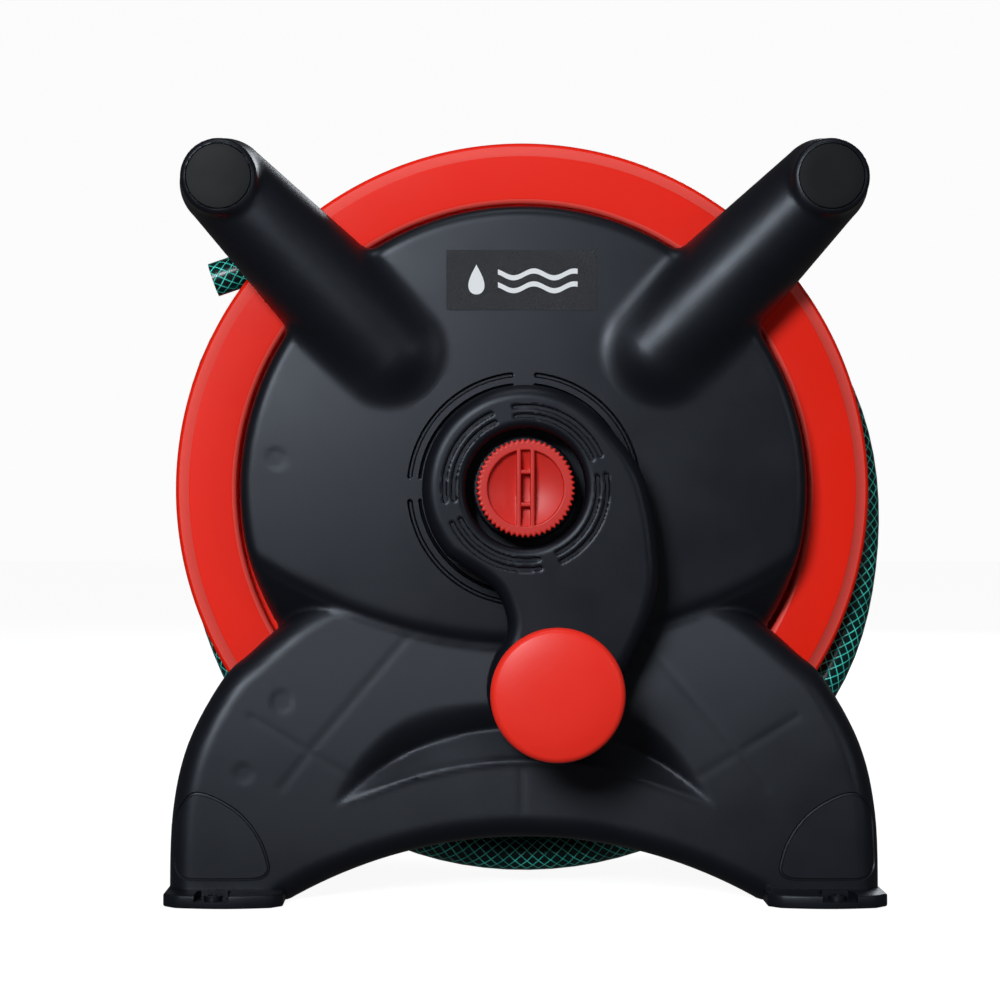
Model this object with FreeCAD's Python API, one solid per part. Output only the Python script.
"""Garden hose reel on two moulded stand frames, with a hand crank and 15 m of hose.

Millimetres, +Z up. The drum turns about an axis along Y. The crank is on the -Y side and
the water inlet on the +Y side. Shapes are drawn about the hub, with y = 0 in the middle of
the drum, and place() moves them so that the origin is at the middle of the base.
"""
import FreeCAD
import Part
import math
import os

V = FreeCAD.Vector

# Driving dimensions -----------------------------------------------------------------------
HUB_HEIGHT = 190.0          # drum axis above the floor
WALL = 3.0                  # moulded wall

FRAME_BACK = 60.0           # open edge of each frame, from the middle of the drum
DISC_R = 130.0              # round middle of a frame
DISC_FACE = 82.0            # its face at the hub
DISC_RIM_FACE = 80.0        # its face just inside the rounded edge
DISC_EDGE_R = 9.0           # rounding of that edge

HORN_X, HORN_Z = 138.5, 141.5       # end of each upper arm, from the hub
HORN_R = 20.7               # upper arm tube
HORN_ROOT = 70.0            # where the arm grows out of the disc, from the hub
HORN_ROOT_Y, HORN_TIP_Y = 73.0, 82.5
HORN_END = 103.0            # outer face of the arm's end
HORN_EDGE_R = 6.0

LEG_FACE = 93.0             # outer face of the legs
LEG_EDGE_R = 9.0
LEG_WALL = 4.5              # legs are thicker behind their covers
LEG_X = 164.0               # half width at the feet
ARCH_X, ARCH_Z = 108.0, -161.0      # foot of the arch, and its crown below the hub

FOOT_T = 6.0                # foot plate
FOOT_FRONT = 113.0
FOOT_INNER_X = 110.0
FOOT_HOLE_X, FOOT_HOLE_Y = 142.0, 104.0
FOOT_HOLE_R = 2.25
FOOT_POCKET_W = 16.0
FOOT_FLOOR = 3.0            # plate left under the screw pocket

COVER_T = 2.5               # plate that closes a frame's inner side
COVER_GAP = 0.3
COVER_SCREW_R = 116.0       # circle of its screws

BAR_R, BAR_BORE_R = 10.5, 8.0       # handle bars
BAR_SEAT = 94.0             # the bars end here, inside the arms
BASE_BAR_R, BASE_BAR_BORE_R = 13.0, 10.5
BASE_BAR_SEAT = 84.0
BASE_BAR_X, BASE_BAR_Z = 138.0, -159.0
PLUG_L = 22.0
CAP_R, CAP_T, CAP_POCKET = 14.7, 2.0, 5.0
LEG_COVER_T = 2.0

AXLE_R, AXLE_BORE_R = 17.0, 12.0
AXLE_FRONT, AXLE_REAR = 98.0, 88.0
BUSH_R = 20.0
RUNNING = 0.06              # radial clearance of the turning fits

FLANGE_R = 165.0
FLANGE_IN = 44.0            # inner face of each flange
FLANGE_WEB = 47.0
FLANGE_OUT = 57.0
RIM_R = 135.6               # inner wall of the raised rim
BARREL_R = 90.0

HOSE_R = 8.25               # half inch bore hose, 16.5 mm outside
LAYERS, TURNS = 4, 5
LOOSE_R, LOOSE_X, LOOSE_Z, LOOSE_Y = 160.5, 4.0, -17.5, -25.0

CRANK_UNDER, CRANK_FACE = 100.0, 114.0
CRANK_HUB_R = 46.9
CRANK_END_R = 30.5
CRANK_WELL_R = 29.0
CRANK_FLOOR = 101.0
PIN_X, PIN_Z = 12.9, -90.7
PIN_R = 5.0
KNOB_R, KNOB_UNDER, KNOB_FACE = 29.5, 115.0, 157.0

LOCK_R, LOCK_FACE, LOCK_TEETH = 22.5, 112.0, 54
STEM_R = 8.0

INLET_END = 127.0
LATCH_R, NOSE_R = 9.0, 6.5

Y_MIDDLE = (KNOB_FACE - INLET_END) / 2


# Small tools ------------------------------------------------------------------------------
def cyl(radius, y0, y1, x=0.0, z=0.0):
    """A cylinder along Y."""
    low, high = min(y0, y1), max(y0, y1)
    return Part.makeCylinder(radius, high - low, V(x, low, z), V(0, 1, 0))


def ring(outer, inner, y0, y1, x=0.0, z=0.0):
    return cyl(outer, y0, y1, x, z).cut(cyl(inner, y0 - 1, y1 + 1, x, z))


def box(x0, x1, y0, y1, z0, z1):
    return Part.makeBox(x1 - x0, y1 - y0, z1 - z0, V(x0, y0, z0))


def line(a, b):
    return Part.LineSegment(V(*a), V(*b)).toShape()


def arc(a, middle, b):
    return Part.Arc(V(*a), V(*middle), V(*b)).toShape()


def spline(points):
    curve = Part.BSplineCurve()
    curve.interpolate([V(*p) for p in points])
    return curve.toShape()


def turned(edges):
    """A solid turned about the hub axis from a closed outline of (r, y, 0) edges."""
    face = Part.Face(Part.Wire(edges))
    return face.revolve(V(0, 0, 0), V(0, 1, 0), 360)


def turned_polygon(points):
    closed = points + points[:1]
    return turned([line((a[0], a[1], 0), (b[0], b[1], 0)) for a, b in zip(closed, closed[1:])])


def prism(wire, y0, y1):
    """A solid along Y from a wire drawn in the plane y = 0."""
    face = Part.Face(wire)
    face.translate(V(0, y0, 0))
    return face.extrude(V(0, y1 - y0, 0))


def sector(outer, inner, y0, y1, start, end):
    """Part of a ring between two angles, counted from +X towards +Z."""
    def at(radius, degrees):
        a = math.radians(degrees)
        return (radius * math.cos(a), 0, radius * math.sin(a))

    middle = (start + end) / 2
    wire = Part.Wire([
        arc(at(outer, start), at(outer, middle), at(outer, end)),
        line(at(outer, end), at(inner, end)),
        arc(at(inner, end), at(inner, middle), at(inner, start)),
        line(at(inner, start), at(outer, start)),
    ])
    return prism(wire, y0, y1)


def edges_at(solid, y, tolerance=0.01):
    """The edges of a solid that lie wholly in the plane at y."""
    found = []
    for edge in solid.Edges:
        bounds = edge.BoundBox
        if abs(bounds.YMin - y) < tolerance and abs(bounds.YMax - y) < tolerance:
            found.append(edge)
    return found


def mirror_x(shape):
    return shape.mirror(V(0, 0, 0), V(1, 0, 0))


def mirror_y(shape):
    return shape.mirror(V(0, 0, 0), V(0, 1, 0))


def around(shape, count, start=0.0):
    """Copies of a shape around the hub axis."""
    copies = []
    for i in range(count):
        turned_copy = shape.copy()
        turned_copy.rotate(V(0, 0, 0), V(0, 1, 0), -(start + 360.0 * i / count))
        copies.append(turned_copy)
    return copies


def screw(head_r, head_t, shank_r, under, tip, x=0.0, z=0.0):
    """A pan head screw along Y: head towards -Y, seated at under."""
    return cyl(head_r, under - head_t, under, x, z).fuse(cyl(shank_r, under, tip, x, z))


# Frames -----------------------------------------------------------------------------------
def disc_body(inset, back):
    """The round middle, shrunk by a wall."""
    radius = DISC_R - inset
    rim = -(DISC_RIM_FACE - inset)
    face = -(DISC_FACE - inset)
    edge = DISC_EDGE_R
    slant = edge * (1 - math.sqrt(0.5))
    return turned([
        line((0, back, 0), (radius, back, 0)),
        line((radius, back, 0), (radius, rim + edge, 0)),
        arc((radius, rim + edge, 0), (radius - slant, rim + slant, 0), (radius - edge, rim, 0)),
        line((radius - edge, rim, 0), (0, face, 0)),
        line((0, face, 0), (0, back, 0)),
    ])


def horn_body(inset, front, back):
    """One upper arm: a tube that leans out of the disc and ends in an upright drum."""
    length = math.hypot(HORN_X, HORN_Z)
    ux, uz = HORN_X / length, HORN_Z / length
    root = V(ux * (HORN_ROOT + inset), -HORN_ROOT_Y, uz * (HORN_ROOT + inset))
    tip = V(HORN_X, -HORN_TIP_Y, HORN_Z)
    radius = HORN_R - inset
    tube = Part.makeCylinder(radius, (tip - root).Length, root, tip - root)
    near = min(tube.Edges, key=lambda e: e.CenterOfMass.Length)
    tube = tube.makeFillet(12.0 - inset, [near])
    end = cyl(radius, -front, -back, HORN_X, HORN_Z)
    end = end.makeFillet(HORN_EDGE_R - inset / 2, edges_at(end, -front))
    body = tube.fuse(end)
    return body.cut(box(-300, 300, -back, 100, -300, 300))


def leg_outline(inset):
    """Shoulders, both legs and the arch: one smooth line over the top, and the floor line."""
    foot_z = -HUB_HEIGHT + inset
    x = LEG_X - inset
    half = [
        (x, foot_z), (x - 1.5, -150), (x - 8.5, -118), (x - 24, -88.5 - inset / 2),
        (x - 48, -69.5 - inset), (88, -56 - inset), (58, -63.5 - inset),
    ]
    left = [(-px, 0, pz) for px, pz in half]
    right = [(px, 0, pz) for px, pz in reversed(half)]
    top = spline(left + [(0, 0, -73 - inset)] + right)
    foot_x = ARCH_X + 2 * inset
    return Part.Wire([
        top, line((x, 0, foot_z), (foot_x, 0, foot_z)),
        arc((foot_x, 0, foot_z), (0, 0, ARCH_Z + inset), (-foot_x, 0, foot_z)),
        line((-foot_x, 0, foot_z), (-x, 0, foot_z)),
    ])


def leg_body(inset, face, back, edge_r):
    body = prism(leg_outline(inset), -face, back)
    return body.makeFillet(edge_r, edges_at(body, -face))


def foot_plate():
    """One foot, bowed at the front, with a pocket around its screw boss."""
    top = -HUB_HEIGHT + FOOT_T
    base = -HUB_HEIGHT
    back, front = -FRAME_BACK, -FOOT_FRONT
    side = -98.0
    outline = Part.Wire([
        line((LEG_X, back, base), (LEG_X, side, base)),
        arc((LEG_X, side, base), (140, front, base), (FOOT_INNER_X, side, base)),
        line((FOOT_INNER_X, side, base), (FOOT_INNER_X, back, base)),
        line((FOOT_INNER_X, back, base), (LEG_X, back, base)),
    ])
    plate = Part.Face(outline).extrude(V(0, 0, FOOT_T))
    half = FOOT_POCKET_W / 2
    pocket = box(FOOT_HOLE_X - half, FOOT_HOLE_X + half, front - 1, -LEG_FACE - 3,
                 base + FOOT_FLOOR, top + 1)
    boss = Part.makeCylinder(4.2, FOOT_T - 1, V(FOOT_HOLE_X, -FOOT_HOLE_Y, base))
    return plate.cut(pocket).fuse(boss)


def foot_hole():
    return Part.makeCylinder(FOOT_HOLE_R, 60, V(FOOT_HOLE_X, -FOOT_HOLE_Y, -HUB_HEIGHT - 10))


def leg_cover_outline(shrink=0.0):
    """The rounded quarter shape low on a leg that hides a base bar screw."""
    low, left = -179.5 + shrink, 161.5 - shrink
    return Part.Wire([
        line((left, 0, low), (left - 1.5, 0, -149 - shrink)),
        spline([
            (left - 1.5, 0, -149 - shrink), (151, 0, -140 - shrink), (133 + shrink, 0, -148 - shrink),
            (121.5 + shrink, 0, -162 - shrink), (116 + shrink, 0, low),
        ]),
        line((116 + shrink, 0, low), (left, 0, low)),
    ])


def leg_cover_skin(shrink=0.0):
    """The outer skin of a leg inside the cover's outline."""
    outer = leg_body(0.0, LEG_FACE, -FRAME_BACK, LEG_EDGE_R)
    inner = leg_body(LEG_COVER_T, LEG_FACE - LEG_COVER_T, -FRAME_BACK, LEG_EDGE_R - LEG_COVER_T)
    window = prism(leg_cover_outline(shrink), -LEG_FACE - 1, -LEG_FACE + 12)
    return outer.cut(inner).common(window)


def both_sides(shape):
    return [shape, mirror_x(shape)]


def arc_slots():
    """Two broken rings of grooves in the face of the disc."""
    slots = []
    for outer, inner in ((54.4, 51.9), (49.3, 47.6)):
        for quarter in range(4):
            start = 90 * quarter + 5
            slots.append(sector(outer, inner, -DISC_FACE - 1, -DISC_FACE + 2.6, start, start + 80))
    return slots


def frame_shell():
    """A stand frame as it is on the crank side. The other one is its mirror image."""
    back = -FRAME_BACK
    horn = horn_body(0.0, HORN_END, FRAME_BACK)
    outer = disc_body(0.0, back)
    outer = outer.fuse(both_sides(horn))
    outer = outer.fuse(leg_body(0.0, LEG_FACE, back, LEG_EDGE_R))
    outer = outer.fuse(both_sides(foot_plate()))
    hollow_horn = horn_body(WALL, BAR_SEAT, FRAME_BACK + WALL)
    hollow = disc_body(WALL, back + 1)
    hollow = hollow.fuse(both_sides(hollow_horn))
    hollow = hollow.fuse(leg_body(WALL, LEG_FACE - LEG_WALL, back + 1, LEG_EDGE_R - WALL))
    shell = outer.cut(hollow)
    posts = [cyl(24.0, -DISC_FACE + 1, -FRAME_BACK - COVER_T)]
    for side in (1, -1):
        posts.append(cyl(13.5, -BAR_SEAT - 1, -FRAME_BACK, side * HORN_X, HORN_Z))
        posts.append(cyl(16.0, -LEG_FACE + LEG_COVER_T + 1, -FRAME_BACK - COVER_T - COVER_GAP,
                         side * BASE_BAR_X, BASE_BAR_Z))
    posts += cover_screw_posts()
    shell = shell.fuse([post.common(outer) for post in posts])
    holes = [cyl(BUSH_R, -DISC_FACE - 5, back + 5)]
    for side in (1, -1):
        x = side * HORN_X
        holes.append(cyl(BAR_R, -BAR_SEAT, back + 1, x, HORN_Z))
        holes.append(cyl(CAP_R + 0.15, -HORN_END - 1, -HORN_END + CAP_POCKET, x, HORN_Z))
        holes.append(cyl(2.8, -HORN_END, -BAR_SEAT + 1, x, HORN_Z))
        x = side * BASE_BAR_X
        holes.append(cyl(BASE_BAR_R, -BASE_BAR_SEAT, back + 1, x, BASE_BAR_Z))
        holes.append(cyl(5.5, -LEG_FACE, -BASE_BAR_SEAT - 4, x, BASE_BAR_Z))
        holes.append(cyl(2.8, -LEG_FACE, -BASE_BAR_SEAT + 1, x, BASE_BAR_Z))
    holes += both_sides(foot_hole())
    holes += both_sides(leg_cover_skin())
    holes += arc_slots()
    holes += around(cyl(1.5, -DISC_RIM_FACE + 8, back, COVER_SCREW_R), 6, 30)
    return shell.cut(holes).removeSplitter()


def cover_screw_posts():
    post = cyl(4.5, -LEG_FACE, -FRAME_BACK - COVER_T, COVER_SCREW_R)
    return around(post, 6, 30)


def inner_cover():
    """The plate that closes the disc and the legs of a frame, towards the drum."""
    gap = WALL + COVER_GAP
    y0, y1 = -FRAME_BACK - COVER_T, -FRAME_BACK
    plate = cyl(DISC_R - gap, y0, y1).fuse(prism(leg_outline(gap), y0, y1))
    holes = [cyl(24.5, y0 - 1, y1 + 1)]
    for side in (1, -1):
        holes.append(cyl(BASE_BAR_R + 0.2, y0 - 1, y1 + 1, side * BASE_BAR_X, BASE_BAR_Z))
    holes += around(cyl(2.0, y0 - 1, y1 + 1, COVER_SCREW_R), 6, 30)
    return plate.cut(holes)


def cover_screws():
    one = mirror_y(screw(3.6, 1.8, 1.5, FRAME_BACK, FRAME_BACK + 11, COVER_SCREW_R))
    return around(one, 6, 30)


def bush():
    """A flanged sleeve in the hub of a frame that the axle turns in."""
    sleeve = cyl(BUSH_R, -DISC_FACE, -FRAME_BACK - COVER_T)
    collar = cyl(BUSH_R + 3, -DISC_FACE - 2, -DISC_FACE)
    return sleeve.fuse(collar).cut(cyl(AXLE_R + RUNNING, -DISC_FACE - 5, 0))


def bar(radius, bore, seat, x, z):
    return ring(radius, bore, -seat, seat, x, z)


def bar_plug(radius, seat, x, z):
    return cyl(radius, -seat, -seat + PLUG_L, x, z).cut(cyl(2.4, -seat - 1, 0, x, z))


def horn_cap(x):
    face = -HORN_END
    disc = cyl(CAP_R, face, face + CAP_T, x, HORN_Z)
    disc = disc.makeFillet(0.6, edges_at(disc, face))
    return disc.fuse(ring(CAP_R, CAP_R - 1.6, face + CAP_T, face + CAP_POCKET, x, HORN_Z))


def label_plate():
    """A thin plain badge with a drop and two bars raised on it."""
    face = -DISC_FACE
    seat = box(-36, 34, face - 0.2, face + 2.5, 83, 111)
    plate = seat.cut(disc_body(0.0, -FRAME_BACK))
    drop = cyl(4.5, face - 0.5, face, -12, 95).fuse(
        Part.makeCone(3.9, 0.4, 9, V(-12, face - 0.25, 97.2), V(0, 0, 1))
        .common(box(-20, 0, face - 0.5, face, 90, 110))
    )
    bars = [box(-2, 20, face - 0.5, face, z, z + 3) for z in (92, 98.5)]
    return plate.fuse([drop] + bars)


# Drum -------------------------------------------------------------------------------------
def flange():
    """A drum side on the crank side: a flat web with a raised, hollow rim."""
    web, out, inner = -FLANGE_WEB, -FLANGE_OUT, -FLANGE_IN
    rim = turned([
        line((RIM_R, inner, 0), (RIM_R, out + 2.8, 0)),
        arc((RIM_R, out + 2.8, 0), (RIM_R + 0.82, out + 0.82, 0), (RIM_R + 2.8, out, 0)),
        line((RIM_R + 2.8, out, 0), (154.0, out, 0)),
        line((154.0, out, 0), (155.0, out + 0.8, 0)),
        line((155.0, out + 0.8, 0), (160.0, out + 2.4, 0)),
        arc((160.0, out + 2.4, 0), (163.6, out + 4.6, 0), (FLANGE_R, out + 8.5, 0)),
        line((FLANGE_R, out + 8.5, 0), (FLANGE_R, inner, 0)),
        line((FLANGE_R, inner, 0), (RIM_R, inner, 0)),
    ])
    channel = turned([
        line((RIM_R + WALL, inner + 1, 0), (RIM_R + WALL, out + WALL, 0)),
        line((RIM_R + WALL, out + WALL, 0), (153.5, out + WALL, 0)),
        line((153.5, out + WALL, 0), (162.3, out + 9.0, 0)),
        line((162.3, out + 9.0, 0), (162.3, inner + 1, 0)),
        line((162.3, inner + 1, 0), (RIM_R + WALL, inner + 1, 0)),
    ])
    ribs = around(box(RIM_R, 163.5, out + 1.5, inner, -1, 1), 24, 7.5)
    body = rim.cut(channel).fuse([rib.common(rim) for rib in ribs])
    body = body.fuse(ring(RIM_R + 1, AXLE_R, web, inner))
    body = body.fuse(ring(AXLE_R + 5, AXLE_R, -FRAME_BACK - 0.5, inner))
    spokes = around(box(AXLE_R + 1, RIM_R + 1, web - 4, web, -1.25, 1.25), 12)
    body = body.fuse(spokes)
    holes = around(cyl(2.2, web - 5, inner + 1, BARREL_R - 7), 6, 15)
    seats = around(cyl(4.6, web - 5, web, BARREL_R - 7), 6, 15)
    return body.cut(holes + seats).removeSplitter()


def barrel():
    wall = ring(BARREL_R, BARREL_R - WALL, -FLANGE_IN, FLANGE_IN)
    posts = []
    for y0, y1 in ((-FLANGE_IN, -18), (18, FLANGE_IN)):
        posts += around(cyl(5, y0, y1, BARREL_R - 7), 6, 15)
    inside = cyl(BARREL_R - 1, -FLANGE_IN, FLANGE_IN)
    drum = wall.fuse([post.common(inside) for post in posts])
    pilots = around(cyl(1.8, -FLANGE_IN - 1, FLANGE_IN + 1, BARREL_R - 7), 6, 15)
    return drum.cut(pilots + [outlet_pipe(0.2)])


def drum_screws():
    one = screw(4.0, 2.4, 1.8, -FLANGE_WEB, -FLANGE_IN + 16, BARREL_R - 7)
    pair = [one, mirror_y(one)]
    return [copy for shape in pair for copy in around(shape, 6, 15)]


OUTLET_Y = -30.0
OUTLET_R = 6.0
BARB_Z = BARREL_R + HOSE_R + 0.3


def outlet_pipe(grow=0.0):
    """The radial pipe from the axle to the barrel's surface."""
    return Part.makeCylinder(OUTLET_R + 1.5 + grow, BARREL_R + 1 - AXLE_BORE_R,
                             V(0, OUTLET_Y, AXLE_BORE_R), V(0, 0, 1))


def outlet_elbow():
    """Water way from the axle to the hose, with a barbed tail along the first turn."""
    along = V(-1, 0, 0)
    neck = Part.makeCylinder(OUTLET_R + 1.5, BARB_Z - AXLE_BORE_R - 2 + OUTLET_R + 1,
                             V(0, OUTLET_Y, AXLE_BORE_R + 2), V(0, 0, 1))
    solid = neck.fuse(Part.makeCylinder(OUTLET_R, 30, V(0, OUTLET_Y, BARB_Z), along))
    for i in range(3):
        start = V(-12 - 6 * i, OUTLET_Y, BARB_Z)
        solid = solid.fuse(Part.makeCone(OUTLET_R + 0.5, OUTLET_R - 0.5, 5, start, along))
    bore = Part.makeCylinder(OUTLET_R - 2, BARB_Z, V(0, OUTLET_Y, 0), V(0, 0, 1))
    bore = bore.fuse(Part.makeCylinder(OUTLET_R - 2.2, 40, V(0, OUTLET_Y, BARB_Z), along))
    return solid.cut(bore)


def hose_clamp():
    """A band clamp with its ear, round the hose end on the barbed tail."""
    start = V(-23, OUTLET_Y, BARB_Z)
    band = Part.makeCylinder(HOSE_R + 0.9, 9, start, V(1, 0, 0))
    ear = box(-23, -14, OUTLET_Y - 4, OUTLET_Y + 4, BARB_Z + 6, BARB_Z + 12.5)
    bore = Part.makeCylinder(HOSE_R + 0.05, 11, V(-24, OUTLET_Y, BARB_Z), V(1, 0, 0))
    return band.fuse(ear).cut(bore)


def axle():
    """The hollow shaft: water enters at the +Y end and leaves at the outlet."""
    shaft = cyl(AXLE_R, -AXLE_FRONT, AXLE_REAR)
    lock_wall = AXLE_FRONT - 10
    bores = [
        cyl(AXLE_BORE_R, -66, AXLE_REAR + 1),
        cyl(AXLE_BORE_R, -lock_wall, -70),
        cyl(STEM_R + RUNNING, -AXLE_FRONT - 1, -lock_wall + 1),
        box(-2.3, 2.3, -AXLE_FRONT - 1, -lock_wall + 1, -11.3, 11.3),
        Part.makeCylinder(OUTLET_R + 1.5, 20, V(0, OUTLET_Y, AXLE_BORE_R + 2), V(0, 0, 1)),
        Part.makeCylinder(OUTLET_R - 2, 20, V(0, OUTLET_Y, 5), V(0, 0, 1)),
    ]
    return shaft.cut(bores)


# Hose -------------------------------------------------------------------------------------
def layer_radius(layer):
    return BARREL_R + 0.3 + HOSE_R * (1 + layer * math.sqrt(3))


def hose_coil():
    """The wound pack, with room left for the outlet elbow and its clamp."""
    outer = layer_radius(LAYERS - 1) + HOSE_R
    pack = ring(outer, BARREL_R + 0.3, -FLANGE_IN + 0.4, FLANGE_IN - 0.4)
    room = box(-34, 10, OUTLET_Y - 10, OUTLET_Y + 10, BARREL_R - 5, BARB_Z + 14)
    return pack.cut(room)


def hose_outer_turn():
    """The last turn, which hangs loose below the drum."""
    return Part.makeTorus(LOOSE_R, HOSE_R, V(LOOSE_X, LOOSE_Y, LOOSE_Z), V(0, 1, 0))


# The free end leaves the pack over the top and points down to the left.
TAIL_ROUTE = [(-18, -25, 141.0), (-62, -26, 131.0), (-106, -28, 116.5), (-149, -31, 101.8)]


def hose_tail():
    """A tube along straight runs joined by tangent arcs."""
    points = [V(*p) for p in TAIL_ROUTE]
    edges = []
    start = points[0]
    for before, corner, after in zip(points, points[1:], points[2:]):
        run_in, run_out = corner - before, after - corner
        turn = run_in.getAngle(run_out)
        cut = 0.45 * min(run_in.Length, run_out.Length)
        radius = cut / math.tan(turn / 2)
        enter = corner - run_in.normalize() * cut
        leave = corner + run_out.normalize() * cut
        toward = (run_out - run_in).normalize()
        centre_gap = radius / math.cos(turn / 2)
        middle = corner + toward * (centre_gap - radius)
        edges += [Part.LineSegment(start, enter).toShape(), Part.Arc(enter, middle, leave).toShape()]
        start = leave
        print(f"hose tail bend radius {radius:.0f} mm, turn {math.degrees(turn):.1f} degrees")
    edges.append(Part.LineSegment(start, points[-1]).toShape())
    path = Part.Wire(edges)
    section = Part.Wire(Part.Circle(points[0], points[1] - points[0], HOSE_R).toShape())
    tube = path.makePipeShell([section], True, False)
    ideal = math.pi * HOSE_R ** 2 * path.Length
    print(f"hose tail {path.Length:.1f} mm, volume over section x length {tube.Volume / ideal:.4f}")
    return tube


# Crank ------------------------------------------------------------------------------------
def crank_outline():
    """A round hub that runs out to the knob in a comma shape."""
    def on_hub(degrees):
        a = math.radians(degrees)
        return (CRANK_HUB_R * math.cos(a), 0, CRANK_HUB_R * math.sin(a))

    def on_end(degrees):
        a = math.radians(degrees)
        return (PIN_X + CRANK_END_R * math.cos(a), 0, PIN_Z + CRANK_END_R * math.sin(a))

    right = spline([on_hub(44), (53, 0, 6.3), (60.6, 0, -32.4), (57, 0, -58), on_end(5)])
    left = spline([on_end(140), (-8.2, 0, -60), (-15, 0, -45), on_hub(221)])
    return Part.Wire([
        arc(on_hub(44), on_hub(130), on_hub(221)), left,
        arc(on_end(140), on_end(270), on_end(365)), right,
    ])


def crank_arm():
    plate = prism(crank_outline(), -CRANK_FACE, -CRANK_UNDER)
    plate = plate.makeFillet(3.0, edges_at(plate, -CRANK_FACE))
    boss = cyl(24, -CRANK_UNDER, -90)
    arm = plate.fuse(boss)
    hollow = prism(crank_outline(), -CRANK_UNDER - 8, -CRANK_UNDER + 1)
    hollow = hollow.common(
        cyl(26.0, -CRANK_UNDER - 8, -CRANK_UNDER + 1, 20, -60)
    ).cut([cyl(CRANK_WELL_R + 4, -120, -80), cyl(12, -120, -80, PIN_X, PIN_Z)])
    cuts = [
        cyl(CRANK_WELL_R, -CRANK_FACE - 1, -CRANK_FLOOR),
        cyl(AXLE_R, -AXLE_FRONT, -89),
        cyl(STEM_R + 1, -CRANK_FLOOR - 1, -89),
        cyl(PIN_R, -CRANK_FACE - 1, -CRANK_UNDER + 1, PIN_X, PIN_Z),
        hollow,
    ]
    for outer, inner in ((37.9, 35.7), (33.5, 31.3)):
        for start, end in ((113, 191), (22, 100), (-66, 11), (204, 282)):
            cuts.append(sector(outer, inner, -CRANK_FACE - 1, -CRANK_FACE + 1.2, start, end))
    return arm.cut(cuts)


def crank_pin():
    """The headed pin that the knob turns on."""
    shank = cyl(PIN_R, -KNOB_FACE + 10, -CRANK_UNDER, PIN_X, PIN_Z)
    return shank.fuse(cyl(8, -KNOB_FACE + 7, -KNOB_FACE + 10, PIN_X, PIN_Z))


def crank_knob():
    """The red cap of the knob."""
    under, face = -KNOB_UNDER, -KNOB_FACE
    skin = turned([
        line((10, under, 0), (18, under, 0)),
        arc((18, under, 0), (20.2, under - 9, 0), (24.5, under - 17, 0)),
        arc((24.5, under - 17, 0), (28.2, under - 26, 0), (KNOB_R, face + 5, 0)),
        arc((KNOB_R, face + 5, 0), (KNOB_R - 0.8, face + 2.6, 0), (KNOB_R - 3.5, face + 1.2, 0)),
        line((KNOB_R - 3.5, face + 1.2, 0), (KNOB_R - 12, face, 0)),
        line((KNOB_R - 12, face, 0), (0, face, 0)),
        line((0, face, 0), (0, face + 3, 0)),
        line((0, face + 3, 0), (10, face + 3, 0)),
        line((10, face + 3, 0), (10, under, 0)),
    ])
    skin.translate(V(PIN_X, 0, PIN_Z))
    return skin


def knob_sleeve():
    """The sleeve inside the knob that runs on the pin, under the pin's head."""
    under = -KNOB_UNDER
    top = -KNOB_FACE + 10.3
    sleeve = cyl(10, top, under, PIN_X, PIN_Z)
    return sleeve.cut(cyl(PIN_R + RUNNING, top - 1, under + 1, PIN_X, PIN_Z))


def lock_knob():
    """The serrated quarter turn knob that holds the crank on the axle."""
    seat = -CRANK_FLOOR - 1.1
    face = -LOCK_FACE
    teeth = []
    for i in range(2 * LOCK_TEETH):
        a = 2 * math.pi * i / (2 * LOCK_TEETH)
        radius = LOCK_R if i % 2 == 0 else LOCK_R - 1.3
        teeth.append(V(radius * math.cos(a), 0, radius * math.sin(a)))
    body = prism(Part.makePolygon(teeth + teeth[:1]), face, seat)
    dish = cyl(17.2, face - 1, face + 6)
    grip = [box(side * 3.1 - 1, side * 3.1 + 1, face, face + 7, -16.9, 16.9) for side in (1, -1)]
    grip += [box(-4, 4, face + 1, face + 7, z - 1, z + 1) for z in (7.2, -7.2)]
    inside = cyl(17.5, face, face + 7)
    body = body.cut(dish).fuse([wall.common(inside) for wall in grip])
    stem = cyl(STEM_R, seat, -84)
    lugs = box(-11.3, 11.3, -87.6, -84, -1.9, 1.9).common(cyl(11.3, -88, -83))
    return body.fuse([stem, lugs])


def lock_washer():
    return ring(20, STEM_R + 1, -CRANK_FLOOR - 1, -CRANK_FLOOR - 0.1)


# Water inlet ------------------------------------------------------------------------------
def inlet_spigot():
    """A stem that seals in the axle, a trapped collar and a quick connector tail."""
    stem_r = AXLE_BORE_R - RUNNING
    collar = 89.0
    profile = [
        (4.5, 62), (stem_r, 62), (stem_r, 66), (stem_r - 1.8, 66), (stem_r - 1.8, 68.6),
        (stem_r, 68.6), (stem_r, 74), (stem_r - 1.8, 74), (stem_r - 1.8, 76.6), (stem_r, 76.6),
        (stem_r, collar), (18, collar), (18, collar + 2.4), (10.5, collar + 2.4), (10.5, 104),
        (7.2, 107), (7.2, 110), (LATCH_R, 111), (LATCH_R, 116), (NOSE_R, 118), (NOSE_R, 120.4),
        (NOSE_R - 1.4, 120.4), (NOSE_R - 1.4, 122.6), (NOSE_R, 122.6), (NOSE_R, INLET_END - 1),
        (NOSE_R - 1, INLET_END), (4.5, INLET_END),
    ]
    return turned_polygon(profile)


def o_ring(major, minor, y):
    return Part.makeTorus(major, minor, V(0, y, 0), V(0, 1, 0))


def inlet_orings():
    return [o_ring(AXLE_BORE_R - 1.05, 0.8, y) for y in (67.3, 75.3)]


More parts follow.
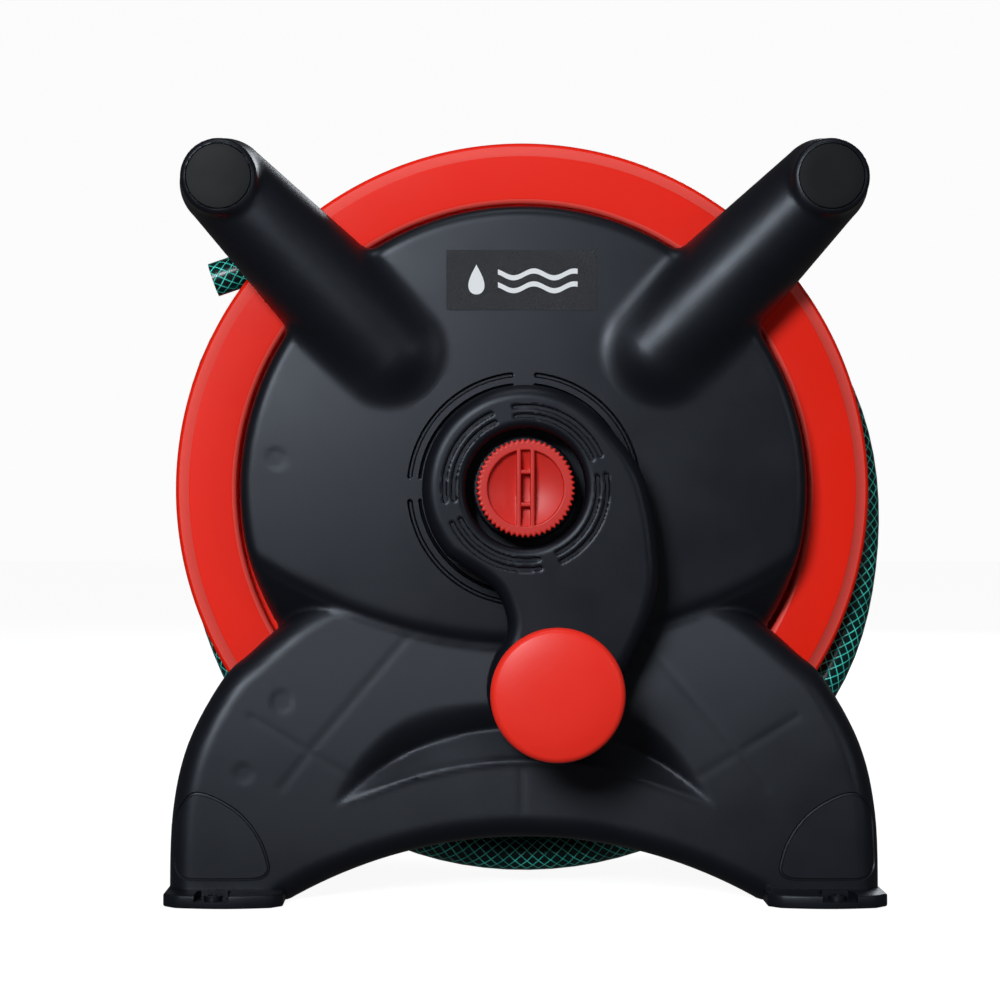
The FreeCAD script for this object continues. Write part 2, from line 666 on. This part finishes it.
def inlet_retainer():
    """The cover on the +Y hub that traps the collar of the inlet."""
    cup = turned_polygon([
        (23.4, DISC_FACE + 0.5), (31, DISC_FACE + 0.5), (31, 90), (28, 94.5), (10.8, 94.5),
        (10.8, 92), (18.6, 92), (18.6, 87), (23.4, 87),
    ])
    holes = around(cyl(2, 80, 100, 26.8), 3, 30)
    seats = around(cyl(3.4, 90.5, 100, 26.8), 3, 30)
    return cup.cut(holes + seats)


def inlet_retainer_screws():
    one = mirror_y(screw(3.2, 2.2, 1.6, -90.5, -80, 26.8))
    return around(one, 3, 30)


# Assembly ---------------------------------------------------------------------------------
def place(shape):
    moved = shape.copy()
    moved.translate(V(0, Y_MIDDLE, HUB_HEIGHT))
    return moved


def save(name, shapes):
    group = shapes if isinstance(shapes, list) else [shapes]
    solids = [solid for shape in group for solid in place(shape).Solids]
    shape = solids[0] if len(solids) == 1 else Part.makeCompound(solids)
    state = "valid" if all(s.isValid() for s in solids) else "NOT VALID"
    print(f"{name}: {len(solids)} solid(s), {shape.Volume / 1000:.1f} cm3, {state}")
    shape.exportStep(f"parts/{name}.step")


def save_frames():
    shell = frame_shell()
    for name, change in (("front", lambda s: s), ("rear", mirror_y)):
        part = change(shell)
        if name == "rear":
            part = part.cut(around(cyl(1.7, 78, 90, 26.8), 3, 30))
        save(f"{name}_frame_shell", part)
        save(f"{name}_inner_cover", change(inner_cover()))
        save(f"{name}_bush", change(bush()))
        for side, sign in (("left", -1), ("right", 1)):
            save(f"{name}_{side}_horn_cap", change(horn_cap(sign * HORN_X)))
            skin = leg_cover_skin(0.15)
            save(f"{name}_{side}_leg_cover", change(skin if sign > 0 else mirror_x(skin)))
    screws = cover_screws()
    save("inner_cover_screws", screws + [mirror_y(s) for s in screws])
    save("label_plate", label_plate())


def save_bars():
    plugs, horn_screws, base_screws = [], [], []
    for side, sign in (("left", -1), ("right", 1)):
        x, base_x = sign * HORN_X, sign * BASE_BAR_X
        save(f"handle_bar_{side}", bar(BAR_R, BAR_BORE_R, BAR_SEAT, x, HORN_Z))
        save(f"base_bar_{side}",
             bar(BASE_BAR_R, BASE_BAR_BORE_R, BASE_BAR_SEAT, base_x, BASE_BAR_Z))
        plugs.append(bar_plug(BAR_BORE_R, BAR_SEAT, x, HORN_Z))
        plugs.append(bar_plug(BASE_BAR_BORE_R, BASE_BAR_SEAT, base_x, BASE_BAR_Z))
        horn_screws.append(screw(4.6, 2.6, 2.4, -HORN_END + CAP_POCKET, -75, x, HORN_Z))
        base_screws.append(screw(4.6, 2.4, 2.4, -BASE_BAR_SEAT - 4, -65, base_x, BASE_BAR_Z))
    save("bar_end_plugs", plugs + [mirror_y(p) for p in plugs])
    save("handle_bar_screws", horn_screws + [mirror_y(s) for s in horn_screws])
    save("base_bar_screws", base_screws + [mirror_y(s) for s in base_screws])


def save_drum():
    side = flange()
    save("drum_front_flange", side)
    save("drum_rear_flange", mirror_y(side))
    save("drum_barrel", barrel())
    save("drum_screws", drum_screws())
    save("drum_axle", axle())
    save("hose_outlet_elbow", outlet_elbow())
    save("hose_clamp", hose_clamp())
    save("hose_coil", hose_coil())
    save("hose_outer_turn", hose_outer_turn())
    save("hose_tail", hose_tail())


def save_crank_and_inlet():
    save("crank_arm", crank_arm())
    save("crank_pin", crank_pin())
    save("crank_knob", crank_knob())
    save("knob_sleeve", knob_sleeve())
    save("hub_lock_knob", lock_knob())
    save("lock_knob_washer", lock_washer())
    save("inlet_spigot", inlet_spigot())
    save("inlet_orings", inlet_orings() + [o_ring(NOSE_R - 0.55, 0.8, 121.5)])
    save("inlet_retainer", inlet_retainer())
    save("inlet_retainer_screws", inlet_retainer_screws())


def main():
    os.makedirs("parts", exist_ok=True)
    save_frames()
    save_bars()
    save_drum()
    save_crank_and_inlet()


main()
